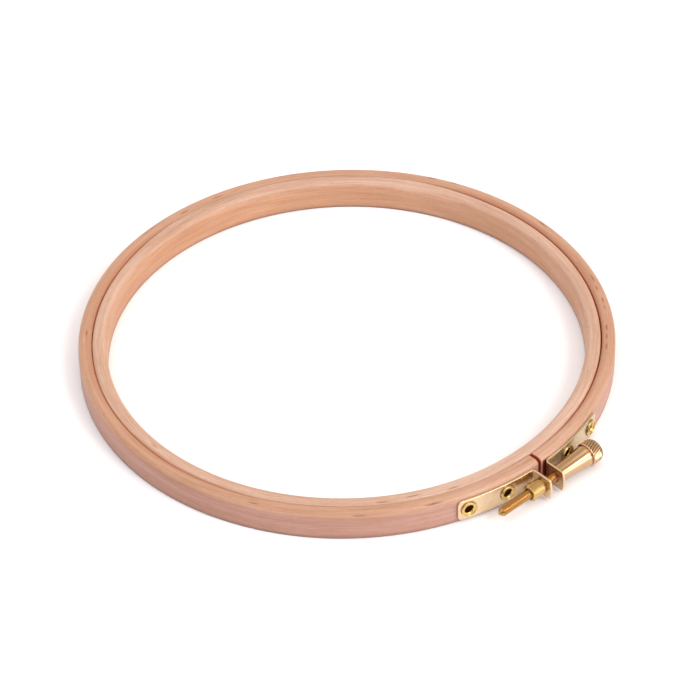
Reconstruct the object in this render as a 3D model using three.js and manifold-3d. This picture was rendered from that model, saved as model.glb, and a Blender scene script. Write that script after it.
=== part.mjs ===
// Embroidery hoop: a plain inner ring inside a split outer ring, drawn together by a brass screw.
// Millimetres, +Z up. The hoop lies flat with its underside at z = 0. The origin is the middle of
// the whole object's footprint, so the outer ring's centre stands a little behind it in +Y, and
// the split with its screw faces -Y. The screw lies along X with its knob at +X.
// Pieces are built about the outer ring's centre; left is -X and right is +X.
import * as THREE from 'three';
import { mergeVertices } from 'three/addons/utils/BufferGeometryUtils.js';
import Module from 'manifold-3d';

// ---------------------------------------------------------------- driving dimensions
// Arcs are lengths along the outer ring, measured from the -Y line; left is negative.

// rings
const RING_H = 16;
const OUTER_R = 143;          // outer ring, outside
const OUTER_BORE_R = 135.9;   // outer ring, inside
const CLOTH_GAP = 0.85;       // average clearance between the rings
const INNER_R = OUTER_BORE_R - CLOTH_GAP;
const INNER_BORE_R = 127.5;
const INNER_SHIFT = { x: -0.445, y: -0.16 };  // the loose inner ring lies towards the left front
const MID_R = (OUTER_R + OUTER_BORE_R) / 2;   // arcs of the next three are measured here
const LEFT_END_ARC = 0.3;     // ends of the split ring, both just right of the -Y line
const RIGHT_END_ARC = 1.65;
const HINGE_HALF_GAP = 0.15;  // half the thin break at the back, opposite the split
const RING_STEPS = 96;        // facets round a full ring

// brackets: a strip on the ring's outside, bent outward into an ear
const STRIP_T = 1.2;
const STRIP_GAP = 0.15;       // between the wood and the strip
const STRIP_R0 = OUTER_R + STRIP_GAP;
const STRIP_R1 = STRIP_R0 + STRIP_T;
const STRIP_H = 12.4;
const STRIP_Z = RING_H / 2;   // height of the strip's middle
const STRIP_END_ARC = 50.2;
const STRIP_CORNER_R = 2.6;   // at the far end
const BEND_R = 1.8;           // inside radius of the bend
const LEFT_EAR_X = -4.1;      // ear faces that look at each other across the split
const RIGHT_EAR_X = 3.8;
const EAR_SHOULDER = 156.0;   // distance in -Y where the ear starts to round off
const EAR_TIP = 157.2;        // distance in -Y of the ear's tip

// eyelets
const EAR_EYELET_ARC = 21.5;
const END_EYELET_ARC = 44.2;
const EYELET_ARCS = [EAR_EYELET_ARC, END_EYELET_ARC];
const FLANGE_R = 4.5;
const FLANGE_T = 0.9;
const FLANGE_GAP = 0.12;      // between the strip and the flange
const TUBE_R = 2.85;
const TUBE_HOLE_R = 2.4;
const EYELET_BORE_R = 3.15;   // hole through wood and strip
const CLINCH_R = 3.9;         // rolled-over inner end
const POCKET_R = 4.4;         // pocket in the wood round the clinch
const POCKET_DEPTH = 1.5;

// screw
const SCREW_Y = -150.6;
const SCREW_Z = STRIP_Z;
const ROD_R = 2.45;
const ROD_TIP_X = -35.5;
const SOCKET_END_X = 17;      // bottom of the knob's socket
const ROD_END_GAP = 0.3;      // between the rod's end and the socket's bottom
const NUT_BORE_R = 2.8;
const NUT_R = 4.25;
const NUT_X0 = -14.7;
const NUT_X1 = -6.4;
const NUT_CHAMFER = 0.3;
const NUT_NECK_R = 3.45;
const NUT_LIP_R = 4.1;
const NUT_LIP_GAP = 0.15;     // between the left ear's face and the lip
const NUT_LIP_T = 0.7;
const LEFT_EAR_HOLE_R = 3.6;  // takes the nut's neck
const RIGHT_EAR_HOLE_R = 2.8; // takes the rod
const KNOB_X0 = 5.3;
const KNOB_R = 6.5;
const KNOB_SOCKET_R = 2.6;

const OVERCUT = 2;            // how far cutters run past what they cut

// the footprint runs from the ears' tips to the back of the outer ring
const CENTRE_Y = (EAR_TIP - OUTER_R) / 2;

// ---------------------------------------------------------------- materials
const wood = (color) => ({ color, roughness: 0.62, metalness: 0 });
const brass = ({ color, roughness }) => ({ color, roughness, metalness: 1 });

const FINISH = {
  innerRing: wood(0xe3b896),
  outerRing: wood(0xe0b08c),
  bracket: brass({ color: 0xe2c58c, roughness: 0.25 }),
  eyelet: brass({ color: 0xd9b25a, roughness: 0.22 }),
  nut: brass({ color: 0xb8924a, roughness: 0.3 }),
  rod: brass({ color: 0xd29a4a, roughness: 0.3 }),
  knob: brass({ color: 0xd8b07c, roughness: 0.2 }),
};

const hoop = new THREE.Group();
hoop.position.set(0, CENTRE_Y, 0);

function add(name, geometry, finish) {
  const mesh = new THREE.Mesh(geometry, new THREE.MeshStandardMaterial(finish));
  mesh.name = name;
  hoop.add(mesh);
}

// ---------------------------------------------------------------- helpers
const wasm = await Module();
wasm.setup();

// three.js geometry to a Manifold solid; only positions are kept, so that seams close
function solid(geometry) {
  const bare = geometry.clone();
  bare.deleteAttribute('normal');
  bare.deleteAttribute('uv');
  const merged = mergeVertices(bare, 1e-4);
  return new wasm.Manifold(new wasm.Mesh({
    numProp: 3,
    vertProperties: new Float32Array(merged.attributes.position.array),
    triVerts: new Uint32Array(merged.index.array),
  }));
}

function geometryOf(manifold) {
  const mesh = manifold.getMesh();
  const geometry = new THREE.BufferGeometry();
  const positions = new Float32Array(mesh.vertProperties);
  geometry.setAttribute('position', new THREE.BufferAttribute(positions, 3));
  geometry.setIndex(new THREE.BufferAttribute(new Uint32Array(mesh.triVerts), 1));
  geometry.computeVertexNormals();
  return geometry;
}

const vectors = (pairs) => pairs.map(([x, y]) => new THREE.Vector2(x, y));
const extruded = (outline, depth) =>
  new THREE.ExtrudeGeometry(new THREE.Shape(outline), { depth, bevelEnabled: false });

// points on a circle about (x, y) from one angle to another, both ends included
function arcPoints({ x = 0, y = 0, radius, from, to, steps }) {
  return Array.from({ length: steps + 1 }, (_, i) => {
    const angle = from + (to - from) * i / steps;
    return new THREE.Vector2(x + radius * Math.cos(angle), y + radius * Math.sin(angle));
  });
}

// angle round the Z axis of a point this far along the outer ring's outside
const arcAngle = (arc) => -Math.PI / 2 + arc / OUTER_R;

// a profile of [x, radius] points turned about the X axis
function turned(profile, segments) {
  const outline = profile.map(([x, radius]) => new THREE.Vector2(radius, x));
  return new THREE.LatheGeometry(outline, segments).rotateZ(-Math.PI / 2);
}

// a profile of [distance from the Z axis, radius] points, turned about the radial line that
// passes through the strip's middle at this angle
const radial = (profile, segments, angle) =>
  turned(profile, segments).rotateZ(angle).translate(0, 0, STRIP_Z);

// a profile of [x, radius] points turned about the screw's axis
const onScrewAxis = (profile, segments) =>
  turned(profile, segments).translate(0, SCREW_Y, SCREW_Z);

// profile of a plain round bar
const bar = (start, end, radius) => [[start, 0], [start, radius], [end, radius], [end, 0]];

// ---------------------------------------------------------------- inner ring
// rounded shoulder towards the bore, softly crowned top, straight walls
function innerRing() {
  const profile = [ // [radius, height]
    [INNER_BORE_R, 0.8], [INNER_BORE_R + 0.8, 0], [INNER_R - 0.5, 0], [INNER_R, 0.5],
    [INNER_R, RING_H - 1.6], [INNER_R - 0.7, RING_H - 0.6], [INNER_R - 2.2, RING_H - 0.05],
    [INNER_BORE_R + 3.6, RING_H], [INNER_BORE_R + 1.6, RING_H - 0.7],
    [INNER_BORE_R + 0.4, RING_H - 2.1], [INNER_BORE_R, RING_H - 3.6], [INNER_BORE_R, 0.8],
  ];
  return new THREE.LatheGeometry(vectors(profile), RING_STEPS)
    .rotateX(Math.PI / 2)
    .translate(INNER_SHIFT.x, INNER_SHIFT.y, 0);
}

add('inner_ring', innerRing(), FINISH.innerRing);

// ---------------------------------------------------------------- outer ring
const OUTER_PROFILE = [ // [radius, height]
  [OUTER_BORE_R + 0.5, 0], [OUTER_R - 0.8, 0], [OUTER_R, 0.8], [OUTER_R, RING_H - 2.4],
  [OUTER_R - 0.5, RING_H - 1.0], [OUTER_R - 1.6, RING_H - 0.2], [OUTER_R - 3.0, RING_H],
  [OUTER_BORE_R + 2.2, RING_H - 0.05], [OUTER_BORE_R + 0.7, RING_H - 0.6],
  [OUTER_BORE_R, RING_H - 1.6], [OUTER_BORE_R, 0.5],
];

class RingPath extends THREE.Curve {
  constructor(from, to) {
    super();
    this.from = from;
    this.to = to;
  }

  getPoint(t, target = new THREE.Vector3()) {
    const angle = this.from + (this.to - this.from) * t;
    return target.set(MID_R * Math.cos(angle), MID_R * Math.sin(angle), 0);
  }
}

// side is 1 for the right half and -1 for the left; both sweep anticlockwise seen from above
function outerHalf(side, endArc) {
  const back = Math.PI / 2 - side * (HINGE_HALF_GAP / MID_R);
  const front = -Math.PI / 2 + endArc / MID_R;
  const path = side > 0 ? new RingPath(front, back) : new RingPath(back, front + 2 * Math.PI);
  // along this path the shape's x runs down and its y runs inward
  const section = new THREE.Shape(vectors(OUTER_PROFILE.map(([r, z]) => [-z, MID_R - r])));
  let half = solid(new THREE.ExtrudeGeometry(section, {
    extrudePath: path, steps: RING_STEPS / 2, bevelEnabled: false,
  }));

  const pocketEnd = OUTER_BORE_R + POCKET_DEPTH;
  const eyeletCut = [
    [OUTER_BORE_R - OVERCUT, 0], [OUTER_BORE_R - OVERCUT, POCKET_R], [pocketEnd, POCKET_R],
    [pocketEnd, EYELET_BORE_R], [OUTER_R + OVERCUT, EYELET_BORE_R], [OUTER_R + OVERCUT, 0],
  ];
  for (const arc of EYELET_ARCS) {
    half = half.subtract(solid(radial(eyeletCut, 16, arcAngle(side * arc))));
  }
  return geometryOf(half);
}

add('outer_ring_left', outerHalf(-1, LEFT_END_ARC), FINISH.outerRing);
add('outer_ring_right', outerHalf(1, RIGHT_END_ARC), FINISH.outerRing);

// ---------------------------------------------------------------- brackets
// plan of the bent strip on the +X side; face and back are the x of the ear's two sides
function bracketPlan(face, back) {
  // the bend's centre stands the inside radius clear of both the ear's back and the strip
  const x = back + BEND_R;
  const y = -Math.sqrt((STRIP_R1 + BEND_R) ** 2 - x * x);
  const bendAngle = Math.atan2(y, x);        // where the strip runs into the bend
  const bendStart = bendAngle + Math.PI;     // the same place, seen from the bend's centre
  const end = arcAngle(STRIP_END_ARC);
  const outsideR = BEND_R + STRIP_T;
  const points = [
    ...arcPoints({ radius: STRIP_R0, from: end, to: bendAngle, steps: 16 }),
    ...arcPoints({ x, y, radius: outsideR, from: bendStart, to: Math.PI, steps: 5 }),
    new THREE.Vector2(face, -EAR_TIP),
    new THREE.Vector2(back, -EAR_TIP),
    ...arcPoints({ x, y, radius: BEND_R, from: Math.PI, to: bendStart, steps: 5 }),
    ...arcPoints({ radius: STRIP_R1, from: bendAngle, to: end, steps: 16 }),
  ];
  // arcs that meet share an end point, which is kept once
  return points.filter((p, i) => i === 0 || p.distanceTo(points[i - 1]) > 1e-3);
}

// what lies beyond the ear's rounded tip
function earTipCut(face, back) {
  const halfH = STRIP_H / 2;
  const rise = EAR_TIP - EAR_SHOULDER;
  const radius = (halfH * halfH + rise * rise) / (2 * rise);
  const halfAngle = Math.asin(halfH / radius);
  const far = -EAR_TIP - OVERCUT;
  const edge = halfH + OVERCUT;
  const outline = [ // shape x is world y, shape y is world z
    ...vectors([[far, -edge], [-EAR_SHOULDER, -edge]]),
    ...arcPoints({
      x: radius - EAR_TIP, radius, from: Math.PI + halfAngle, to: Math.PI - halfAngle, steps: 10,
    }),
    ...vectors([[-EAR_SHOULDER, edge], [far, edge]]),
  ];
  const placement = new THREE.Matrix4()
    .makeBasis(
      new THREE.Vector3(0, 1, 0), new THREE.Vector3(0, 0, 1), new THREE.Vector3(1, 0, 0))
    .setPosition(face - OVERCUT, 0, STRIP_Z);
  return solid(extruded(outline, back - face + 2 * OVERCUT).applyMatrix4(placement));
}

// what lies outside the rounded upper corner at the strip's far end, for a strip centred on z = 0
function cornerCut() {
  const radius = STRIP_CORNER_R;
  const outline = [ // x runs back along the strip from its end, y runs down from its top edge
    ...arcPoints({ x: radius, y: radius, radius, from: -Math.PI / 2, to: -Math.PI, steps: 6 }),
    ...vectors([[-OVERCUT, radius], [-OVERCUT, -OVERCUT], [radius, -OVERCUT]]),
  ];
  const end = arcAngle(STRIP_END_ARC);
  const outward = new THREE.Vector3(Math.cos(end), Math.sin(end), 0);
  const backAlong = new THREE.Vector3(Math.sin(end), -Math.cos(end), 0);
  const start = outward.clone().multiplyScalar(STRIP_R0 - OVERCUT).setZ(STRIP_H / 2);
  const placement = new THREE.Matrix4()
    .makeBasis(backAlong, new THREE.Vector3(0, 0, -1), outward)
    .setPosition(start);
  return solid(extruded(outline, STRIP_T + 2 * OVERCUT).applyMatrix4(placement));
}

// built on the +X side, then mirrored if the ear's face is at -X
function bracket(earX, earHoleR) {
  const face = Math.abs(earX);
  const back = face + STRIP_T;
  const topCorner = cornerCut();
  const eyeletHole = bar(STRIP_R0 - OVERCUT, STRIP_R1 + OVERCUT, EYELET_BORE_R);
  const cuts = [
    earTipCut(face, back),
    topCorner.translate([0, 0, STRIP_Z]),
    topCorner.mirror([0, 0, 1]).translate([0, 0, STRIP_Z]),
    ...EYELET_ARCS.map((arc) => solid(radial(eyeletHole, 16, arcAngle(arc)))),
    solid(onScrewAxis(bar(face - OVERCUT, back + OVERCUT, earHoleR), 24)),
  ];
  let body = solid(extruded(bracketPlan(face, back), STRIP_H)
    .translate(0, 0, STRIP_Z - STRIP_H / 2));
  for (const cut of cuts) body = body.subtract(cut);
  return geometryOf(earX < 0 ? body.mirror([1, 0, 0]) : body);
}

add('nut_bracket', bracket(LEFT_EAR_X, LEFT_EAR_HOLE_R), FINISH.bracket);
add('screw_bracket', bracket(RIGHT_EAR_X, RIGHT_EAR_HOLE_R), FINISH.bracket);

// ---------------------------------------------------------------- eyelets
// a hollow rivet: domed flange on the strip, tube through strip and wood, rolled end in its pocket
function eyelet(arc) {
  const seat = STRIP_R1 + FLANGE_GAP;
  const top = seat + FLANGE_T;
  const end = OUTER_BORE_R + 0.25;
  const roll = OUTER_BORE_R + POCKET_DEPTH - 0.2;
  return radial([
    [end, TUBE_HOLE_R], [end, CLINCH_R - 0.5], [end + 0.3, CLINCH_R], [roll, CLINCH_R],
    [roll, TUBE_R], [seat, TUBE_R], [seat, FLANGE_R],
    [seat + FLANGE_T * 0.45, FLANGE_R - 0.1], [top, FLANGE_R - 0.9], [top, TUBE_HOLE_R + 0.6],
    [seat + FLANGE_T * 0.55, TUBE_HOLE_R], [end, TUBE_HOLE_R],
  ], 20, arcAngle(arc));
}

add('eyelet_left_end', eyelet(-END_EYELET_ARC), FINISH.eyelet);
add('eyelet_left_ear', eyelet(-EAR_EYELET_ARC), FINISH.eyelet);
add('eyelet_right_ear', eyelet(EAR_EYELET_ARC), FINISH.eyelet);
add('eyelet_right_end', eyelet(END_EYELET_ARC), FINISH.eyelet);

// ---------------------------------------------------------------- screw
// the nut's neck passes through the left ear and ends in a lip on the side facing the split
function barrelNut() {
  const lipX = LEFT_EAR_X + NUT_LIP_GAP;
  const lipEnd = lipX + NUT_LIP_T;
  return onScrewAxis([
    [NUT_X0, NUT_BORE_R], [NUT_X0, NUT_R - NUT_CHAMFER], [NUT_X0 + NUT_CHAMFER, NUT_R],
    [NUT_X1 - NUT_CHAMFER, NUT_R], [NUT_X1, NUT_R - NUT_CHAMFER], [NUT_X1, NUT_NECK_R],
    [lipX, NUT_NECK_R], [lipX, NUT_LIP_R], [lipX + 0.5, NUT_LIP_R - 0.2],
    [lipEnd, NUT_BORE_R + 0.3], [lipEnd, NUT_BORE_R], [NUT_X0, NUT_BORE_R],
  ], 28);
}

// a plain bar with a tapered tip
function threadedRod() {
  const end = SOCKET_END_X - ROD_END_GAP;
  return onScrewAxis([
    [ROD_TIP_X, 0], [ROD_TIP_X, 0.9], [ROD_TIP_X + 1.9, ROD_R], [end, ROD_R], [end, 0],
  ], 24);
}

// socket, slim body growing towards the head, groove, then the head with its rounded end
function knob() {
  return onScrewAxis([
    [SOCKET_END_X, 0], [SOCKET_END_X, KNOB_SOCKET_R], [KNOB_X0, KNOB_SOCKET_R],
    [KNOB_X0, 3.9], [KNOB_X0 + 0.3, 4.2], [10, 4.4], [14, 4.65], [18, 4.95], [22, 5.35],
    [25.7, 5.85], [26.0, 5.3], [26.7, 5.3], [26.8, 6.2], [27.2, KNOB_R], [32.9, KNOB_R],
    [34.3, 5.8], [35.0, 4.6], [35.3, 2.6], [35.4, 0],
  ], 36);
}

add('barrel_nut', barrelNut(), FINISH.nut);
add('threaded_rod', threadedRod(), FINISH.rod);
add('knob', knob(), FINISH.knob);

export default hoop;
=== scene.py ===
# An embroidery hoop: two nested beech rings, a brass screw and two bent brass brackets.
# It lies on the floor, z = 0, with +Z up. The rings' centre is on the Y axis at RING_Y. The outer
# ring is split at the front (-Y), where the screw runs along X: its nut is on the left (-X), its
# knob on the right (+X). Points of the pieces are in mm from the rings' centre, until build().
from math import acos, asin, atan2, cos, floor, hypot, pi, radians, sin, sqrt, tan

import bmesh
import bpy
import numpy as np
from mathutils import Matrix, Vector
from mathutils.geometry import delaunay_2d_cdt


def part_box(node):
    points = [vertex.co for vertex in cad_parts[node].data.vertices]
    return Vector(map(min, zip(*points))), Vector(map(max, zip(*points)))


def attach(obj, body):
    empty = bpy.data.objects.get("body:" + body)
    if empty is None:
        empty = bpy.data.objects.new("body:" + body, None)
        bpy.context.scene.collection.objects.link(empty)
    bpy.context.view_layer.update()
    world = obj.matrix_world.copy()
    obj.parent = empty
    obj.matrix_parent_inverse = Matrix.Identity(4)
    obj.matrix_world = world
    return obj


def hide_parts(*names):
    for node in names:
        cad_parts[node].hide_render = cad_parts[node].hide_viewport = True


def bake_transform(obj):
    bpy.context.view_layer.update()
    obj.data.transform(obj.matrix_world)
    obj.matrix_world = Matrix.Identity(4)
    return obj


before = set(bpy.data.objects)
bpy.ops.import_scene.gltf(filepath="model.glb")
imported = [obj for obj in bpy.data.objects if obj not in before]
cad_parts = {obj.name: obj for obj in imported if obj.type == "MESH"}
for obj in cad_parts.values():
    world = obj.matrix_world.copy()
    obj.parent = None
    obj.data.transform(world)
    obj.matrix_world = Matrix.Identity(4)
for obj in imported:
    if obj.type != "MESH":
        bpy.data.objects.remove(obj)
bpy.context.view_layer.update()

MM = 0.001


# ---------------------------------------------------------------- dimensions, in mm
def box(node):
    """Lowest and highest corner of a piece of the frame."""
    low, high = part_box(node)
    return [v / MM for v in low], [v / MM for v in high]


low, high = box("threaded_rod")
SCREW_DIST = 150.6                             # from the rings' centre forward to the screw's axis
RING_Y = SCREW_DIST + (low[1] + high[1]) / 2
SCREW_Z = (low[2] + high[2]) / 2
ROD_R = (high[2] - low[2]) / 2
ROD_X0, ROD_X1 = low[0], high[0]
low, high = box("inner_ring")
INNER_AT = ((low[0] + high[0]) / 2, (low[1] + high[1]) / 2 - RING_Y)   # it lies a little off centre
INNER_R = (high[0] - low[0]) / 2
RING_H = high[2]
low, high = box("knob")
KNOB_X0, KNOB_X1 = low[0], high[0]
KNOB_R = (high[2] - low[2]) / 2
low, high = box("barrel_nut")
NUT_X0 = low[0]
NUT_R = (high[2] - low[2]) / 2
low, high = box("screw_bracket")
EAR_RIGHT = low[0]                             # from the middle to the right ear's gap face
STRIP_Z0, STRIP_Z1 = low[2], high[2]
EAR_TIP = RING_Y - low[1]
low, high = box("nut_bracket")
EAR_LEFT = -high[0]                            # from the middle to the left ear's gap face
STRIP_Z = (STRIP_Z0 + STRIP_Z1) / 2

# rings
INNER_BORE_R = INNER_R - 7.55
OUTER_BORE_R = INNER_R + 0.85
OUTER_R = OUTER_BORE_R + 7.1
MID_R = (OUTER_R + OUTER_BORE_R) / 2
GAP_LEFT, GAP_RIGHT = 0.3, 1.65                # the outer ring's sawn ends, along MID_R
SAWN_ROUND = 0.35                              # rounding of the sawn ends
RING_STEPS = 640
TOUCH_SCALE = 143                              # the rings close up from TOUCH_FROM to TOUCH_TO along
TOUCH_FROM, TOUCH_TO = 90, 128                 # the line from front left to back right

# brackets; places along them are arcs on the outer ring's outside, measured from the front
STRIP_T, STRIP_R0 = 1.2, OUTER_R + 0.15        # thickness, radius of the face against the wood
STRIP_END_ARC, STRIP_CORNER = 50.2, 2.6
BEND_R, EAR_RISE = 1.8, 1.2                    # inside of the bend, rise of the ear's curved tip
EDGE_ROLL, EDGE_SUPPORT = 0.26, 0.07           # rounding of the edges, extra loop beside it
EAR_HOLE_LEFT_R, EAR_HOLE_RIGHT_R = 3.6, 2.8

# eyelets and their bores
EYELET_ARCS = {"ear": 21.5, "end": 44.2}
EYELET_R, EYELET_TUBE_R, EYELET_HOLE_R, EYELET_RISE = 4.5, 2.85, 2.4, 0.9
WOOD_BORE_R, POCKET_R, POCKET_DEPTH, CLINCH_R = 3.15, 4.4, 1.5, 3.9

# barrel nut
NUT_BODY_X1, NUT_BORE_R, NUT_NECK_R = -6.4, 2.8, 3.45

# threaded rod
PITCH, ROOT_R, ROD_SEGS = 0.8, ROD_R - 0.42, 56

# knob
KNURL_COUNT, KNURL_X0, KNURL_DEPTH, KNURL_HELIX = 27, 27.2, 0.46, radians(22)
SOCKET_X, SOCKET_R = 17.0, 2.6
HEAD_X0, HEAD_X1 = 27.15, 31.9                 # the straight part of the head

collection = bpy.context.scene.collection


# ---------------------------------------------------------------- mesh helpers
def smooth(mesh):
    for polygon in mesh.polygons:
        polygon.use_smooth = True


def build(name, verts, faces, merge=1e-4):
    """An object from points in mm from the rings' centre: merged, faces outward, smooth."""
    bm = bmesh.new()
    made = [bm.verts.new((x * MM, (y + RING_Y) * MM, z * MM)) for x, y, z in verts]
    for face in faces:
        bm.faces.new([made[i] for i in face])
    bmesh.ops.remove_doubles(bm, verts=bm.verts, dist=merge * MM)
    bmesh.ops.dissolve_degenerate(bm, edges=bm.edges, dist=1e-8)
    loose = [v for v in bm.verts if not v.link_faces]
    bmesh.ops.delete(bm, geom=loose, context="VERTS")
    bmesh.ops.recalc_face_normals(bm, faces=bm.faces)
    mesh = bpy.data.meshes.new(name)
    bm.to_mesh(mesh)
    bm.free()
    smooth(mesh)
    ob = bpy.data.objects.new(name, mesh)
    collection.objects.link(ob)
    return ob


def grid_faces(rows, count, closed, base=0):
    """Quads between rows of `count` points; each row is a loop. Closed: the last row meets the first."""
    faces = []
    for i in range(rows if closed else rows - 1):
        here, there = base + i * count, base + (i + 1) % rows * count
        for k in range(count):
            m = (k + 1) % count
            faces.append((here + k, here + m, there + m, there + k))
    return faces


def clamp01(value):
    return min(1.0, max(0.0, value))


def arc(cx, cy, radius, start, sweep, count):
    """count + 1 points on an arc."""
    angles = [start + sweep * i / count for i in range(count + 1)]
    return [(cx + radius * cos(t), cy + radius * sin(t)) for t in angles]


def fillet(corners, count=4, support=0.18):
    """Rounds a polyline of [x, y, radius]; one more point beside each arc keeps flats flat in shading."""
    pts = [np.array(corner[:2], float) for corner in corners]
    out = []
    for i, p in enumerate(pts):
        radius = corners[i][2]
        if radius <= 0:
            out.append(tuple(p))
            continue
        back, ahead = pts[i - 1] - p, pts[i + 1] - p
        back_len, ahead_len = np.linalg.norm(back), np.linalg.norm(ahead)
        back, ahead = back / back_len, ahead / ahead_len
        angle = acos(float(np.clip(back @ ahead, -1, 1)))
        if angle > pi - 0.03:                  # all but straight
            out.append(tuple(p))
            continue
        cut = min(radius / tan(angle / 2), 0.46 * back_len, 0.46 * ahead_len)
        arc_r = cut * tan(angle / 2)
        middle = back + ahead
        centre = p + middle / np.linalg.norm(middle) * (arc_r / sin(angle / 2))
        start, end = p + back * cut, p + ahead * cut
        beside = min(support * cut + 0.01, 0.3 * (back_len - cut), 0.3 * (ahead_len - cut))
        a0 = atan2(*(start - centre)[::-1])
        a1 = atan2(*(end - centre)[::-1])
        out.append(tuple(start + back * beside))
        out += arc(*centre, arc_r, a0, (a1 - a0 + pi) % (2 * pi) - pi, count)
        out.append(tuple(end + ahead * beside))
    return out


def turned_x(profile, count, radius_at=None, closed=True):
    """[x, r] turned about the screw's axis; radius_at(x, r, angle) may change the radius."""
    verts = []
    for x, r in profile:
        for k in range(count):
            t = 2 * pi * k / count
            reach = radius_at(x, r, t) if radius_at else r
            verts.append((x, -SCREW_DIST + reach * cos(t), SCREW_Z + reach * sin(t)))
    return verts, grid_faces(len(profile), count, closed)


def turned_radial(profile, count, angle, closed=True, base=0):
    """[distance from the rings' centre, r] turned about the radial line at this angle, at STRIP_Z."""
    ax, ay = cos(angle), sin(angle)
    verts = []
    for distance, r in profile:
        for k in range(count):
            t = 2 * pi * k / count
            c, s = r * cos(t), r * sin(t)
            verts.append((distance * ax - c * ay, distance * ay + c * ax, STRIP_Z + s))
    return verts, grid_faces(len(profile), count, closed, base)


def arc_angle(along):
    """Angle round the ring of a place on its outside, from the front, positive to the right."""
    return -pi / 2 + along / OUTER_R


# ---------------------------------------------------------------- wooden rings
def quarter(start, end, count, power=2.0, along_x=False):
    """A quarter superellipse, without its start; it leaves the start along y, or along x."""
    (x0, y0), (x1, y1) = start, end
    out = []
    for i in range(1, count):
        t = pi / 2 * i / count
        first, second = 1 - cos(t) ** (2 / power), sin(t) ** (2 / power)
        if along_x:
            first, second = second, first
        out.append((x0 + (x1 - x0) * first, y0 + (y1 - y0) * second))
    return out + [end]


def straight(start, end, count):
    """A divided straight line, without its start."""
    (x0, y0), (x1, y1) = start, end
    inside = [(x0 + (x1 - x0) * i / count, y0 + (y1 - y0) * i / count) for i in range(1, count)]
    return inside + [end]


def ring_profile(bore, outside, out_drop, out_in, in_drop, in_in, foot_in, foot_out, top_dip):
    """Closed section of a ring, [r, z], from the bore's foot, underneath and up the outside.
    drop and in: height and width of the rounded top edges. foot: rounding of the foot's edges.
    top_dip: how much lower the top is at its bore side."""
    h = RING_H
    bore_foot, foot0 = (bore, foot_in), (bore + foot_in, 0)
    foot1, outside_foot = (outside - foot_out, 0), (outside, foot_out)
    shoulder, top0 = (outside, h - out_drop), (outside - out_in, h)
    top1, bore_shoulder = (bore + in_in, h - top_dip), (bore, h - in_drop)
    profile = [bore_foot]
    profile += quarter(bore_foot, foot0, 5)
    profile += straight(foot0, foot1, 6)
    profile += quarter(foot1, outside_foot, 5, along_x=True)
    profile += straight(outside_foot, shoulder, 12)
    profile += quarter(shoulder, top0, 10, power=2.15)
    span = (outside - out_in) - (bore + in_in)
    for i in range(1, 6):
        t = i / 6
        profile.append((outside - out_in - span * t, h - top_dip * t * t))
    profile.append(top1)
    profile += quarter(top1, bore_shoulder, 10, power=2.1, along_x=True)
    profile += straight(bore_shoulder, bore_foot, 12)[:-1]
    return profile


def wobble(angle, seed):
    """Slow unevenness of hand-finished wood, in mm."""
    return (0.030 * sin(3 * angle + seed) + 0.022 * sin(7 * angle + 2.1 * seed)
            + 0.014 * sin(16 * angle + 0.7 * seed))


def ring_row(section, angle, seed, at=(0.0, 0.0)):
    """A section stood up at this angle, made uneven towards its top."""
    c, s = cos(angle), sin(angle)
    sway, lift = wobble(angle, seed), wobble(angle + 1.3, seed * 1.7)
    out = []
    for r, z in section:
        top = max(0.0, (z - RING_H * 0.72) / (RING_H * 0.28))
        z = z + lift * top - 0.05 * top
        r = r + sway * (0.35 + 0.65 * top)
        out.append((r * c + at[0], r * s + at[1], z))
    return out


def groove_width(angle):
    """Free width between the two rings at this angle."""
    return OUTER_BORE_R - INNER_R - INNER_AT[0] * cos(angle) - INNER_AT[1] * sin(angle)


def closeness(angle):
    """1 at the front left and the back right, where the groove between the rings all but closes."""
    along = TOUCH_SCALE * abs(cos(angle + radians(120)))
    t = clamp01((along - TOUCH_FROM) / (TOUCH_TO - TOUCH_FROM))
    return t * t * (3 - 2 * t)


def edge_depth(angle):
    """Share of its depth that the rounded edge by the groove keeps; least where the rings touch."""
    return 1 - (0.62 if sin(angle) < 0 else 0.86) * closeness(angle)


EDGE_HEIGHT = 1.65                             # the part of the top that edge_depth() works on


def inner_ring():
    profile = ring_profile(INNER_BORE_R, INNER_R + 0.05, out_drop=1.6, out_in=2.5, in_drop=3.7,
                           in_in=3.8, foot_in=0.8, foot_out=0.5, top_dip=0.0)
    verts = []
    for i in range(RING_STEPS):
        angle = 2 * pi * i / RING_STEPS
        touch = (0.13 if sin(angle) < 0 else 0.35) * closeness(angle)
        swell = 0.4 * (groove_width(angle) - 0.38) + touch
        keep = edge_depth(angle)
        section = []
        for r, z in profile:
            if r > INNER_BORE_R + 4.5 and z > RING_H - EDGE_HEIGHT:
                z = RING_H - (RING_H - z) * keep
            section.append((r + swell * clamp01((r - INNER_BORE_R - 3.0) / 4.0), z))
        verts += ring_row(section, angle, seed=0.6, at=INNER_AT)
    return build("inner_ring_wood", verts, grid_faces(RING_STEPS, len(profile), closed=True))


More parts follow.
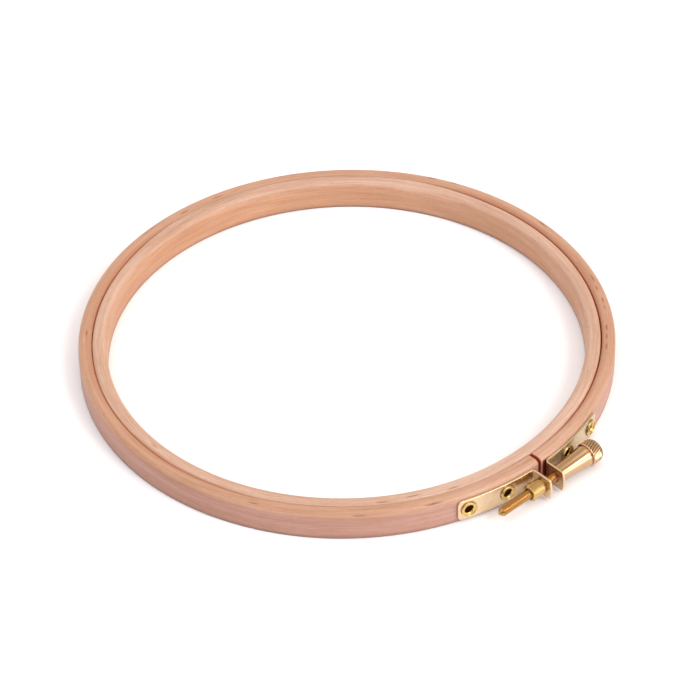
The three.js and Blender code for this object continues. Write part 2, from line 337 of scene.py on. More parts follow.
def outer_ring():
    top_dip = 0.12
    profile = ring_profile(OUTER_BORE_R - 0.1, OUTER_R, out_drop=2.6, out_in=3.1, in_drop=1.5,
                           in_in=2.2, foot_in=0.5, foot_out=0.8, top_dip=top_dip)
    centre = ((OUTER_BORE_R + OUTER_R) / 2, RING_H / 2)
    half = ((OUTER_R - OUTER_BORE_R) / 2, RING_H / 2)
    start = -pi / 2 + GAP_RIGHT / MID_R
    end = -pi / 2 + 2 * pi + GAP_LEFT / MID_R
    # rows of [angle, shrink]: each end is rounded, with a support row beside the rounding
    rounding = [(SAWN_ROUND * (1 - cos(pi / 2 * k / 5)), SAWN_ROUND * (1 - sin(pi / 2 * k / 5)))
                for k in range(6)]
    rows = [(start + back / MID_R, shrink) for back, shrink in rounding]
    full0, full1 = rows[-1][0], end - SAWN_ROUND / MID_R
    rows.append((full0 + 0.15 / MID_R, 0.0))
    rows += [(full0 + (full1 - full0) * i / RING_STEPS, 0.0) for i in range(1, RING_STEPS)]
    rows.append((full1 - 0.15 / MID_R, 0.0))
    rows += [(end - back / MID_R, shrink) for back, shrink in reversed(rounding)]

    verts = []
    top = RING_H - top_dip
    for angle, shrink in rows:
        keep = edge_depth(angle)
        section = []
        for r, z in profile:
            if r < OUTER_BORE_R + 2.3 and RING_H - EDGE_HEIGHT < z < top:
                z = top - (top - z) * keep
            if shrink:
                r = centre[0] + (r - centre[0]) * (1 - shrink / half[0])
                z = centre[1] + (z - centre[1]) * (1 - shrink / half[1])
            section.append((r, z))
        verts += ring_row(section, angle, seed=2.4)
    count = len(profile)
    faces = grid_faces(len(rows), count, closed=False)
    for row in (0, len(rows) - 1):             # a support loop inside the rim, then the sawn face
        angle = rows[row][0]
        middle = (centre[0] * cos(angle), centre[0] * sin(angle), centre[1])
        rim = verts[row * count:(row + 1) * count]
        base = len(verts)
        verts += [tuple(p[q] + (middle[q] - p[q]) * 0.06 for q in range(3)) for p in rim]
        verts.append(middle)
        for k in range(count):
            m = (k + 1) % count
            faces.append((row * count + k, row * count + m, base + m, base + k))
            faces.append((base + k, base + m, base + count))
    return build("outer_ring_wood", verts, faces)


def bore_eyelet_holes(ring):
    """Bores for the eyelets, each with the pocket that its rolled inner end sits in."""
    floor_r = OUTER_BORE_R + POCKET_DEPTH
    profile = [(OUTER_BORE_R - 1.5, 0), (OUTER_BORE_R - 1.5, POCKET_R), (floor_r, POCKET_R),
               (floor_r, WOOD_BORE_R), (OUTER_R + 1.5, WOOD_BORE_R), (OUTER_R + 1.5, 0)]
    verts, faces = [], []
    for side in (-1, 1):
        for along in EYELET_ARCS.values():
            plug_verts, plug_faces = turned_radial(profile, 40, arc_angle(side * along),
                                                   closed=False, base=len(verts))
            verts += plug_verts
            faces += plug_faces
    cutter = build("cutter", verts, faces)
    mod = ring.modifiers.new("bores", "BOOLEAN")
    mod.operation, mod.solver, mod.object = "DIFFERENCE", "EXACT", cutter
    bpy.context.view_layer.update()
    evaluated = ring.evaluated_get(bpy.context.evaluated_depsgraph_get())
    bored = bpy.data.meshes.new_from_object(evaluated)
    ring.modifiers.clear()
    solid = ring.data
    ring.data = bored
    bpy.data.meshes.remove(solid)
    bpy.data.objects.remove(cutter)
    bored.name = "outer_ring_wood"
    smooth(bored)
    bored.set_sharp_from_angle(angle=radians(38))


def add_grain(ob, seam, at=(0.0, 0.0)):
    """Attribute "grain": along the ring from the seam's angle, radius and height, per face corner."""
    mesh = ob.data
    co = np.zeros(len(mesh.vertices) * 3)
    mesh.vertices.foreach_get("co", co)
    co = co.reshape(-1, 3) / MM
    co[:, 0] -= at[0]
    co[:, 1] -= RING_Y + at[1]
    angle = np.arctan2(co[:, 1], co[:, 0])
    radius = np.hypot(co[:, 0], co[:, 1])
    corners = np.zeros(len(mesh.loops), int)
    mesh.loops.foreach_get("vertex_index", corners)
    total = np.zeros(len(mesh.polygons), int)
    mesh.polygons.foreach_get("loop_total", total)
    owner = np.repeat(np.arange(len(mesh.polygons)), total)
    face_x = np.bincount(owner, co[corners, 0]) / total
    face_y = np.bincount(owner, co[corners, 1]) / total
    # corners follow the middle of their face, so no face is torn across the seam
    face_angle = (np.arctan2(face_y, face_x) - seam) % (2 * pi)
    corner_angle = (angle[corners] - seam) % (2 * pi)
    offset = (corner_angle - face_angle[owner] + pi) % (2 * pi) - pi
    along = (face_angle[owner] + offset) * MID_R
    data = np.stack([along, radius[corners], co[corners, 2]], 1).astype(np.float32)
    mesh.attributes.new("grain", "FLOAT_VECTOR", "CORNER").data.foreach_set("vector", data.ravel())


inner_wood = inner_ring()
outer_wood = outer_ring()
bore_eyelet_holes(outer_wood)
add_grain(inner_wood, radians(-58), INNER_AT)
add_grain(outer_wood, -pi / 2)


# ---------------------------------------------------------------- bent brackets
def strip_path(side, gap_face):
    """The strip's middle line, from its end on the ring to the ear's tip: the function from
    [along, off the middle, across] to a point, then its lengths on the ring, in the bend, in all."""
    ring_r = STRIP_R0 + STRIP_T / 2
    bend_r = BEND_R + STRIP_T / 2
    bend_x, reach = gap_face + STRIP_T + BEND_R, STRIP_R0 + STRIP_T + BEND_R
    bend_y = -sqrt(reach * reach - bend_x * bend_x)
    bend_angle = atan2(bend_y, bend_x)
    end_angle = arc_angle(STRIP_END_ARC)
    ring_len = ring_r * (end_angle - bend_angle)
    bend_len = bend_r * (-bend_angle)
    ear_len = EAR_TIP + bend_y

    def point_at(s, off, z):
        if s < ring_len:
            t = end_angle - s / ring_r
            normal = (cos(t), sin(t))
            p = (ring_r * normal[0], ring_r * normal[1])
        elif s < ring_len + bend_len:
            t = bend_angle + pi + (s - ring_len) / bend_r
            normal = (-cos(t), -sin(t))
            p = (bend_x - bend_r * normal[0], bend_y - bend_r * normal[1])
        else:
            normal = (1.0, 0.0)
            p = (bend_x - bend_r, bend_y - (s - ring_len - bend_len))
        return side * (p[0] + normal[0] * off), p[1] + normal[1] * off, STRIP_Z + z

    return point_at, ring_len, bend_len, ring_len + bend_len + ear_len


def circle(s, radius):
    return arc(s, 0, radius, 0, 2 * pi, 48)[:-1]


def in_polygon(p, polygon):
    hit = False
    last = polygon[-1]
    for q in polygon:
        if (q.y > p.y) != (last.y > p.y):
            if p.x < (last.x - q.x) * (p.y - q.y) / (last.y - q.y) + q.x:
                hit = not hit
        last = q
    return hit


def flat_face(outer, holes, half_w, length, stations):
    """Constrained triangulation of the flat inside the rolled edges: its points and triangles."""
    inset = EDGE_ROLL + EDGE_SUPPORT
    pts, edges = [], []

    def add_loop(points):
        base = len(pts)
        pts.extend(Vector(p) for p in points)
        edges.extend((base + i, base + (i + 1) % len(points)) for i in range(len(points)))

    add_loop(outer)
    for s, r in holes:
        add_loop(circle(s, r + inset))
        for extra, count in ((0.5, 40), (1.2, 36)):    # rings of points round the hole
            for i in range(count):
                t = 2 * pi * (i + 0.5) / count
                q = (s + (r + inset + extra) * cos(t), (r + inset + extra) * sin(t))
                if abs(q[1]) < half_w - inset - 0.3 and q[0] < length - 1.5:
                    pts.append(Vector(q))
    shares = (-0.85, -0.68, -0.5, -0.33, -0.17, 0, 0.17, 0.33, 0.5, 0.68, 0.85)
    lines = [half_w * share for share in shares]
    for s in stations:
        for z in lines:
            if s < STRIP_CORNER and abs(z) > half_w - STRIP_CORNER:
                continue
            if all(hypot(s - hole_s, z) > r + inset + 1.5 for hole_s, r in holes):
                pts.append(Vector((s, z)))
    for s in (0.9, 1.8):                       # beside the rounded corners
        pts.extend(Vector((s, z)) for z in lines[2:-2])
    points, _, triangles, *_ = delaunay_2d_cdt(pts, edges, [], 1, 1e-6)
    polygon = [Vector(p) for p in outer]
    keep = []
    for triangle in triangles:
        c = sum((points[i] for i in triangle), Vector((0, 0))) / len(triangle)
        if in_polygon(c, polygon) and all(hypot(c.x - s, c.y) > r + inset - 0.02 for s, r in holes):
            keep.append(triangle)
    return points, keep


def bracket(name, side, gap_face, ear_hole_r):
    """A strip that follows the ring, bends outward and stands as an ear; all edges are rounded."""
    half_t, half_w = STRIP_T / 2, (STRIP_Z1 - STRIP_Z0) / 2
    point_at, ring_len, bend_len, length = strip_path(side, gap_face)
    tip_r = (half_w * half_w + EAR_RISE * EAR_RISE) / (2 * EAR_RISE)
    tip_s = length - tip_r                     # centre of the ear's curved tip
    ear_len = tip_s + sqrt(tip_r ** 2 - half_w ** 2) - 0.5 - ring_len - bend_len
    stations = [STRIP_CORNER + (ring_len - STRIP_CORNER) * i / 40 for i in range(41)]
    stations += [ring_len + bend_len * i / 14 for i in range(1, 15)]
    stations += [ring_len + bend_len + ear_len * i / 8 for i in range(1, 9)]

    def outline(inset):
        c, tip = STRIP_CORNER, tip_r - inset
        half_tip = asin((half_w - inset) / tip)
        pts = arc(c, -(half_w - c), c - inset, pi, pi / 2, 12)
        pts += [(s, -(half_w - inset)) for s in stations[1:]]
        pts += arc(tip_s, 0, tip, -half_tip, 2 * half_tip, 24)
        pts += [(s, half_w - inset) for s in reversed(stations[1:])]
        return pts + arc(c, half_w - c, c - inset, pi / 2, pi / 2, 12)

    ring_r = STRIP_R0 + half_t
    holes = [(ring_r * (STRIP_END_ARC - along) / OUTER_R, WOOD_BORE_R)
             for along in EYELET_ARCS.values()]
    holes.append((length - (EAR_TIP - SCREW_DIST), ear_hole_r))

    # [inset, off the middle] over one rounded edge
    levels = [(EDGE_ROLL + EDGE_SUPPORT, half_t)]
    for k in (4, 3, 2, 1, 0):
        t = pi / 2 * k / 4
        levels.append((EDGE_ROLL * (1 - cos(t)), half_t - EDGE_ROLL + EDGE_ROLL * sin(t)))
    levels += [(inset, -off) for inset, off in reversed(levels)]
    verts, faces = [], []

    def add_wall(loop_at):
        base = len(verts)
        for inset, off in levels:
            loop = loop_at(inset)
            verts.extend(point_at(s, off, z) for s, z in loop)
        faces.extend(grid_faces(len(levels), len(loop), closed=False, base=base))

    add_wall(outline)
    for s, r in holes:
        add_wall(lambda inset: circle(s, r + inset))
    points, triangles = flat_face(outline(EDGE_ROLL + EDGE_SUPPORT), holes, half_w, length, stations)
    for off in (half_t, -half_t):
        base = len(verts)
        verts.extend(point_at(p.x, off, p.y) for p in points)
        faces.extend(tuple(base + i for i in triangle) for triangle in triangles)
    return build(name, verts, faces, merge=2e-3)


nut_strip = bracket("nut_bracket_strip", -1, EAR_LEFT, EAR_HOLE_LEFT_R)
screw_strip = bracket("screw_bracket_strip", 1, EAR_RIGHT, EAR_HOLE_RIGHT_R)


# ---------------------------------------------------------------- eyelets
def eyelet(name, along):
    seat = STRIP_R0 + STRIP_T + 0.12
    top = seat + EYELET_RISE
    end = OUTER_BORE_R + 0.25
    curl = OUTER_BORE_R + POCKET_DEPTH - 0.2
    hole = EYELET_HOLE_R - 0.15
    lip = EYELET_HOLE_R + 0.55                 # where the curled end turns back into the hole
    tube = EYELET_TUBE_R
    profile = [(end + 1.6, hole), (seat - 1.1, hole)]
    # the flange: a funnel out of the hole, a shallow dish, a rolled bead near the edge
    for i in range(1, 9):
        t = pi * 0.5 * i / 8
        profile.append((seat - 1.1 + (0.35 + 1.1) * sin(t), hole + 0.75 * (1 - cos(t))))
    profile += [(seat + 0.41, hole + 0.95), (seat + 0.43, hole + 1.15), (seat + 0.45, hole + 1.3)]
    bead, bead_at = 0.32, EYELET_R - 0.46
    for i in range(13):
        t = pi * (0.86 - 0.86 * i / 12)
        profile.append((top - bead + bead * sin(t), bead_at + 0.45 * -cos(t)))
    profile += [(seat + 0.12, EYELET_R - 0.01), (seat + 0.04, EYELET_R - 0.06),
                (seat, EYELET_R - 0.16), (seat, EYELET_R - 0.3), (seat, tube + 0.35),
                (seat - 0.05, tube + 0.1), (seat - 0.2, tube), (seat - 1.2, tube)]
    # the tube's inner end is curled outward into the pocket
    profile += [(curl + 0.5, tube), (curl + 0.12, tube + 0.08), (curl, tube + 0.3),
                (curl, CLINCH_R - 0.5), (curl - 0.06, CLINCH_R - 0.2), (curl - 0.3, CLINCH_R)]
    for i in range(1, 11):
        t = pi * 0.5 * i / 10
        profile.append((curl - 0.3 - (curl - 0.3 - end) * sin(t), lip + (CLINCH_R - lip) * cos(t)))
    for i in range(1, 7):
        t = pi * 0.5 * i / 6
        profile.append((end + 0.7 * (1 - cos(t)), hole + (lip - hole) * (1 - sin(t))))
    return build(name, *turned_radial(profile, 64, arc_angle(along)))


eyelets = {}
for side, place in (("left", "end"), ("left", "ear"), ("right", "ear"), ("right", "end")):
    node = f"eyelet_{side}_{place}"
    arc_from_front = EYELET_ARCS[place] * (-1 if side == "left" else 1)
    eyelets[node] = eyelet(node + "_rivet", arc_from_front)


# ---------------------------------------------------------------- barrel nut
def barrel_nut():
    lip_x = -EAR_LEFT + 0.15
    corners = [                                # x, r, rounding
        (NUT_X0, NUT_BORE_R + 0.35, 0), (NUT_X0, NUT_R - 0.38, 0.1), (NUT_X0 + 0.38, NUT_R, 0.12),
        (NUT_BODY_X1 - 0.34, NUT_R, 0.12), (NUT_BODY_X1, NUT_R - 0.34, 0.1),
        (NUT_BODY_X1, NUT_NECK_R, 0.08), (lip_x, NUT_NECK_R, 0.05), (lip_x, NUT_R - 0.15, 0.18),
        (lip_x + 0.5, NUT_R - 0.35, 0.3), (lip_x + 0.7, NUT_BORE_R + 0.5, 0.2),
        (lip_x + 0.62, NUT_BORE_R + 0.15, 0)]
    profile = fillet(corners)
    x = lip_x + 0.25
    while x > NUT_X0 + 0.5:                    # shallow waves of the tapped bore
        for back, rise in ((0, 0.13), (0.2, 0.02), (0.4, 0.13), (0.6, 0.24)):
            profile.append((x - back, NUT_BORE_R + rise))
        x -= PITCH
    profile.append((NUT_X0 + 0.3, NUT_BORE_R + 0.1))
    return build("barrel_nut_turned", *turned_x(profile, 96))


nut = barrel_nut()


# ---------------------------------------------------------------- threaded rod
def close_end(ob, x_end):
    """Closes the open end at x_end with a fan."""
    bm = bmesh.new()
    bm.from_mesh(ob.data)
    rim = [e for e in bm.edges
           if e.is_boundary and all(abs(v.co.x - x_end * MM) < 2e-5 for v in e.verts)]
    if rim:
        centre = bm.verts.new((x_end * MM, (RING_Y - SCREW_DIST) * MM, SCREW_Z * MM))
        for e in rim:
            bm.faces.new((e.verts[0], e.verts[1], centre))
    bmesh.ops.recalc_face_normals(bm, faces=bm.faces)
    bm.to_mesh(ob.data)
    bm.free()
    smooth(ob.data)


def threaded_rod():
    """A true helix, cut down to a tapered tip and a chamfered back."""
    thread = [                                 # one turn of thread: share of the pitch, radius
        (0.0, ROD_R - 0.01), (0.03, ROD_R), (0.31, ROD_R), (0.34, ROD_R - 0.01),
        (0.44, ROD_R - 0.16), (0.56, ROD_R - 0.36), (0.61, ROOT_R + 0.02), (0.67, ROOT_R),
        (0.73, ROOT_R + 0.02), (0.78, ROD_R - 0.36), (0.90, ROD_R - 0.16)]
    per_turn, segs = len(thread), ROD_SEGS
    rows = (int((ROD_X1 - ROD_X0) / PITCH) + 3) * per_turn

    def envelope(x):
        tip = 0.9 + (ROD_R - 0.9) * clamp01((x - ROD_X0) / 1.9)
        back = 1.7 + (ROD_R - 1.7) * clamp01((ROD_X1 - x) / 0.8)
        return min(tip, back)

    verts, faces = [], []
    for i in range(rows):
        turn, k = divmod(i, per_turn)
        share, radius = thread[k]
        for j in range(segs):
            t = 2 * pi * j / segs
            x = ROD_X0 - PITCH * 1.5 + PITCH * (turn + share) + PITCH * j / segs
            x = min(max(x, ROD_X0), ROD_X1)
            r = min(radius, envelope(x))
            verts.append((x, -SCREW_DIST + r * cos(t), SCREW_Z + r * sin(t)))
    for i in range(rows - 1):
        here, there = i * segs, (i + 1) * segs
        for j in range(segs - 1):
            faces.append((here + j, here + j + 1, there + j + 1, there + j))
    for i in range(rows - per_turn - 1):       # the last segment meets the first a full turn on
        here, there = i * segs + segs - 1, (i + per_turn) * segs
        faces.append((here, there, there + segs, here + segs))
    ob = build("threaded_rod_cut", verts, faces, merge=5e-3)
    close_end(ob, ROD_X0)
    close_end(ob, ROD_X1)
    ob.data.set_sharp_from_angle(angle=radians(48))
    return ob


rod = threaded_rod()


# ---------------------------------------------------------------- knob
def taper(x):
    """Radius of the knob's body, which grows in one smooth curve."""
    return 4.18 + 0.062 * (x - 5.3) + 0.00108 * (x - 5.3) ** 2


def knurl(x, r, angle):
    """Radius with the slanting grooves cut into the head."""
    if x < KNURL_X0 - 0.1 or r < 2.0:
        return r
    fade = clamp01((x - KNURL_X0 + 0.1) / 0.45) * clamp01((35.25 - x) / 0.9)
    slant = (x - KNURL_X0) * tan(KNURL_HELIX) / (2 * pi * KNOB_R)
    u = KNURL_COUNT * (angle / (2 * pi) + slant)
    u = u - floor(u)
    v = min(1.0, abs(2 * u - 1) / 0.82)        # 0 in the groove, 1 on the crest
    cut = 1 - (v * v * (3 - 2 * v) * 0.35 + v * 0.65)
    return r - KNURL_DEPTH * fade * cut * min(1.0, r / KNOB_R + 0.1)


def make_knob():
    corners = [                                # x, r, rounding; socket, body, neck, head
        (SOCKET_X, 0, 0), (SOCKET_X, SOCKET_R, 0.1), (KNOB_X0, SOCKET_R, 0.3),
        (KNOB_X0, 3.85, 0.15), (KNOB_X0 + 0.3, 4.2, 0.15), (10, 4.4, 0), (14, 4.65, 0),
        (18, 4.95, 0), (22, 5.35, 0), (25.7, 5.85, 0.14), (25.95, 5.3, 0.1), (26.65, 5.3, 0.1),
        (26.75, 6.15, 0.15), (HEAD_X0, KNOB_R, 0)]
    coarse = fillet(corners)
    fine = []
    for (x0, r0), (x1, r1) in zip(coarse, coarse[1:]):
        fine.append((x0, r0))
        if x0 > 5.4 and x1 < 25.5 and x1 - x0 > 1.5:
            fine += [(x0 + (x1 - x0) * t, r0 + (r1 - r0) * t) for t in (0.25, 0.5, 0.75)]
    fine.append(coarse[-1])
    profile = [(x, taper(x) if KNOB_X0 + 0.55 < x < 25.3 and r > 3 else r) for x, r in fine]
    profile += [(HEAD_X0 + (HEAD_X1 - HEAD_X0) * i / 22, KNOB_R) for i in range(1, 23)]
    for i in range(1, 19):                     # rounded shoulder, then a shallow dome
        t = pi / 2 * i / 18
        r = KNOB_R * cos(t) ** 0.74 if i < 18 else 0.0
        profile.append((HEAD_X1 + (KNOB_X1 - HEAD_X1) * sin(t) ** 1.1, r))
    return build("knob_turned", *turned_x(profile, KNURL_COUNT * 14, knurl, closed=False))


knob = make_knob()

# ---------------------------------------------------------------- ride on the frame
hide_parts("inner_ring")
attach(inner_wood, "inner")
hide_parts("outer_ring_left", "outer_ring_right")
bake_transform(outer_wood)
metal_parts = [                                # object, piece of the frame, moving body, slot
    (nut_strip, "nut_bracket", "outer_left", "brass_strip"),
    (screw_strip, "screw_bracket", "outer_right", "brass_strip"),
    (nut, "barrel_nut", "outer_left", "brass_nut"),
    (rod, "threaded_rod", "screw", "brass_rod"),
    (knob, "knob", "screw", "brass_knob")]
for node, ob in eyelets.items():
    body = "outer_left" if "left" in node else "outer_right"
    metal_parts.append((ob, node, body, "brass_eyelet"))
for ob, node, body, slot in metal_parts:
    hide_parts(node)
    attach(ob, body)


# ---------------------------------------------------------------- node helpers
class Nodes:
    """A short way to write a node tree. Sockets are linked; other values become defaults."""

    def __init__(self, tree):
        self.tree = tree

    def new(self, kind, **settings):
        """_name sets a property, i0, i1... an input by number, any other name an input by name."""
        node = self.tree.nodes.new(kind)
        for key, value in settings.items():
            if key.startswith("_"):
                setattr(node, key[1:], value)
            else:
                self.put(node, key, value)
        return node

    def put(self, node, key, value):
        socket = node.inputs[int(key[1:]) if key[1:].isdigit() else key]
        if isinstance(value, bpy.types.NodeSocket):
            self.tree.links.new(value, socket)
        else:
            socket.default_value = value

    def math(self, op, a, b=0.0, c=None, clamp=False):
        node = self.new("ShaderNodeMath", _operation=op, _use_clamp=clamp, i0=a, i1=b)
        if c is not None:
            self.put(node, "i2", c)
        return node.outputs[0]

    def add(self, a, b):
        return self.math("ADD", a, b)

    def mul(self, a, b):
        return self.math("MULTIPLY", a, b)

    def vec(self, op, a, b=(0, 0, 0)):
        node = self.new("ShaderNodeVectorMath", _operation=op, i0=a, i1=b)
        return node.outputs["Value" if op in ("LENGTH", "DOT_PRODUCT") else "Vector"]

    def split(self, vector):
        return self.new("ShaderNodeSeparateXYZ", i0=vector).outputs

    def coords(self, output="Object"):
        return self.new("ShaderNodeTexCoord").outputs[output]

    def ramp(self, value, over, to=(0.0, 1.0), kind="SMOOTHSTEP"):
        """Maps the range `over` to the range `to`."""
        return self.new("ShaderNodeMapRange", _interpolation_type=kind, i0=value,
                        i1=over[0], i2=over[1], i3=to[0], i4=to[1]).outputs[0]

    def noise(self, vector, scale, detail=2.0, rough=0.5, twist=0.0):
        return self.new("ShaderNodeTexNoise", Vector=vector, Scale=scale, Detail=detail,
                        Roughness=rough, Distortion=twist).outputs["Fac"]

    def mix(self, fac, a, b):
        return self.new("ShaderNodeMix", _data_type="RGBA", i0=fac, i6=a, i7=b).outputs[2]

    def bump(self, height, strength, distance):
        return self.new("ShaderNodeBump", Strength=strength, Distance=distance,
                        Height=height).outputs[0]


def material(name):
    mat = bpy.data.materials.new(name)
    mat.use_nodes = True
    mat.node_tree.nodes.clear()
    n = Nodes(mat.node_tree)
    out = n.new("ShaderNodeOutputMaterial")
    bsdf = n.new("ShaderNodeBsdfPrincipled")
    n.put(out, "i0", bsdf.outputs[0])
    return mat, n, bsdf


def rgb(r, g, b):
    return (r, g, b, 1.0)


# ---------------------------------------------------------------- beech
FLECK_FINE, FLECK_LONG = rgb(0.30, 0.115, 0.055), rgb(0.28, 0.10, 0.045)
# the second colour on the next line is painted bounce light for the groove
MARK_BROWN, GROOVE_BOUNCE_LIGHT = rgb(0.20, 0.062, 0.028), rgb(0.80, 0.31, 0.14)
# the first colour on the next line is painted shade for the crown's edge by the groove
# the second colour on the next line is painted contact shadow for the foot
GROOVE_EDGE_SHADE, FOOT_SHADE = rgb(0.36, 0.135, 0.065), rgb(0.20, 0.10, 0.08)
# the first colour on the next line is end grain darkened with painted shade
# the second colour on the next line is painted shade for the corner behind the screw's ear
END_GRAIN_AND_SLOT_SHADE, EAR_CORNER_SHADE = rgb(0.36, 0.075, 0.04), rgb(0.17, 0.022, 0.008)
WOOD_SPECULAR = 0.35


def beech(name, top, wall, crown_z, marks, slot, shift=0.0, ends=None):
    """Sanded beech: growth bands and fibres along the ring, reddish ray flecks, a paler crown.
    top, wall: colours, which change over the heights crown_z. slot: ramp over the radius to the
    groove's side. shift: offset of the pattern. ends: the sawn ends, along the ring."""
    mat, n, bsdf = material(name)
    grain = n.new("ShaderNodeAttribute", _attribute_name="grain",
                  _attribute_type="GEOMETRY").outputs["Vector"]
    u, r, z = n.split(grain)

    def stretched(along, across, offset):
        v = n.vec("MULTIPLY", grain, (1 / along, 1 / across, 1 / across))
        return n.vec("ADD", v, (offset + shift, offset * 0.7, offset * 1.3))

    def fibres(along, across, offset, detail=3.0, rough=0.55, twist=0.0):
        return n.noise(stretched(along, across, offset), 1.0, detail, rough, twist)

    def swing(value, amount):
        return n.mul(n.math("SUBTRACT", value, 0.5), amount)

    def flecks(along, across, offset, size, channel, share):
        """Thin lens shapes lying along the grain; share: range of the cells' random value."""
        cells = n.new("ShaderNodeTexVoronoi", _feature="F1", Scale=1.0, Randomness=1.0,
                      Vector=stretched(along, across, offset))
        pick = n.new("ShaderNodeSeparateColor", i0=cells.outputs["Color"]).outputs[channel]
        lens = n.ramp(cells.outputs["Distance"], over=size, to=(1.0, 0.0))
        return n.mul(lens, n.ramp(pick, over=share))

    broad = fibres(along=55, across=6, offset=7.7)
    streak = fibres(along=42, across=1.25, offset=2.9, twist=0.3)
    fine = fibres(along=17, across=0.62, offset=1.3, rough=0.6)
    hair = fibres(along=7, across=0.20, offset=5.9, detail=2.0, rough=0.6)
    pore = fibres(along=2.6, across=0.55, offset=8.8, rough=0.65)
    # growth layers of the board, wandering along its length
    drift = fibres(along=170, across=16, offset=3.1, detail=2.0, rough=0.5)
    layer_r, layer_z, wander, frequency, band_amount = 0.50, 0.30, 9.0, 2.2, 0.035
    layer = n.add(n.add(n.mul(r, layer_r), n.mul(z, layer_z)), n.mul(drift, wander))
    band = n.math("SINE", n.mul(layer, frequency))
    value = n.add(n.add(swing(broad, amount=0.34), swing(streak, amount=0.50)),
                  n.add(swing(fine, amount=0.42), swing(hair, amount=0.26)))
    value = n.add(n.add(value, n.mul(band, band_amount)), swing(pore, amount=0.30))
    # both rings are a little paler near the split
    y = n.split(n.coords())[1]
    paler_y = ((RING_Y - 112) * MM, (RING_Y - 136) * MM)
    value = n.add(value, n.ramp(y, over=paler_y, to=(1.0, 1.12)))
    # darker fibres are also redder
    red, green, blue = (n.math("POWER", value, power) for power in (0.8, 1.25, 1.7))
    tone = n.new("ShaderNodeCombineXYZ", i0=red, i1=green, i2=blue).outputs[0]
    base = n.vec("MULTIPLY", n.mix(n.ramp(z, over=crown_z), wall, top), tone)

    fine_amount, long_amount = 0.30, 0.42
    fleck = flecks(along=5.2, across=0.85, offset=2.2, size=(0.05, 0.26), channel=0,
                   share=(0.45, 0.9))
    base = n.mix(n.mul(fleck, fine_amount), base, FLECK_FINE)
    long_fleck = flecks(along=13, across=1.5, offset=9.4, size=(0.04, 0.24), channel=1,
                        share=(0.70, 0.9))
    base = n.mix(n.mul(long_fleck, long_amount), base, FLECK_LONG)

    spots = []
    for along, radius, height, half_len, half_w, strength in marks:
        d = n.vec("SUBTRACT", grain, (along, radius, height))
        d = n.vec("MULTIPLY", d, (1 / half_len, 1 / half_w, 1 / 2.2))
        spots.append(n.ramp(n.vec("LENGTH", d), over=(0.2, 1.0), to=(strength, 0.0)))
    total = spots[0]
    for spot in spots[1:]:
        total = n.math("MAXIMUM", total, spot)
    soft = fibres(along=2.4, across=0.4, offset=4.4, detail=2.0, rough=0.5)
    soft = n.ramp(soft, over=(0.25, 0.6), to=(0.6, 1.25))
    base = n.mix(n.math("MULTIPLY", total, soft, clamp=True), base, MARK_BROWN)

    # painted bounce light: the faces that look at each other across the groove get a brighter warm
    # orange, which lightens the groove
    bounce_height = n.mul(n.ramp(z, over=(11.6, 13.2), to=(0.12, 0.75)),
                    n.ramp(z, over=(14.2, 15.6), to=(1.0, 0.0)))
    groove_bounce = n.mul(n.ramp(r, **slot), bounce_height)
    point = n.vec("SUBTRACT", n.vec("MULTIPLY", n.coords(), (1000, 1000, 1000)), (0, RING_Y, 0))
    touch_line = (-0.5, -0.866, 0.0)           # towards the front left, where the rings touch
    away = n.math("ABSOLUTE", n.vec("DOT_PRODUCT", point, touch_line))
    touch = (TOUCH_FROM, TOUCH_TO)
    groove_bounce = n.mul(groove_bounce, n.ramp(away, over=touch, to=(1.0, 0.25)))
    base = n.mix(groove_bounce, base, GROOVE_BOUNCE_LIGHT)
    if ends:       # painted shade: the crown beside the groove is darker, least where the rings touch
        groove_edge_shade = n.mul(n.ramp(r, over=(OUTER_BORE_R + 0.3, OUTER_BORE_R + 2.9), to=(0.5, 0.0)),
                       n.ramp(away, over=touch, to=(1.0, 0.12)))
        groove_edge_shade = n.mul(groove_edge_shade, n.ramp(z, over=(13.0, 14.6)))
        groove_edge_shade = n.mul(groove_edge_shade, n.ramp(broad, over=(0.25, 0.65), to=(0.55, 1.15)))
        base = n.mix(groove_edge_shade, base, GROOVE_EDGE_SHADE)
    # painted contact shadow: the foot edges are darker
    foot = n.math("MAXIMUM", n.ramp(z, over=(0.0, 3.2), to=(0.45, 0.0)),
                  n.ramp(z, over=(0.3, 1.8), to=(0.86, 0.0)))
    base = n.mix(foot, base, FOOT_SHADE)
    specular = WOOD_SPECULAR
    if ends:
        # the two sawn ends show dark end grain, deepened with painted shade for the narrow slot
        sawn_amount, corner_shade_amount, specular_loss = 0.96, 0.93, -0.33
        sawn = n.math("MAXIMUM", n.ramp(u, over=(ends[0], ends[0] + 0.25), to=(1.0, 0.0)),
                      n.ramp(u, over=(ends[1] - 0.25, ends[1])))
        base = n.mix(n.mul(sawn, sawn_amount), base, END_GRAIN_AND_SLOT_SHADE)
        # painted shade in the corner behind the screw's ear
        ear_corner_shade = n.mul(n.ramp(u, over=(2.7, 3.3)), n.ramp(u, over=(7.5, 9.0), to=(1.0, 0.0)))
        ear_corner_shade = n.mul(ear_corner_shade, n.mul(n.ramp(r, over=(OUTER_R - 1.2, OUTER_R - 0.5)),
                                   n.ramp(z, over=(13.6, 14.6), to=(1.0, 0.0))))
        base = n.mix(n.mul(ear_corner_shade, corner_shade_amount), base, EAR_CORNER_SHADE)
        dull = n.math("MAXIMUM", sawn, ear_corner_shade)
        specular = n.math("MULTIPLY_ADD", dull, specular_loss, WOOD_SPECULAR)
    n.put(bsdf, "Base Color", base)
    n.put(bsdf, "Roughness", n.ramp(fine, over=(0.3, 0.8), to=(0.42, 0.58)))
    n.put(bsdf, "IOR", 1.45)
    n.put(bsdf, "Specular IOR Level", specular)
    fine_relief, hair_relief, fleck_relief = 0.6, 0.4, 0.4
    relief = n.add(n.mul(fine, fine_relief), n.mul(hair, hair_relief))
    relief = n.math("SUBTRACT", relief, n.mul(fleck, fleck_relief))
    n.put(bsdf, "Normal", n.bump(relief, strength=0.35, distance=0.00006))
    return mat


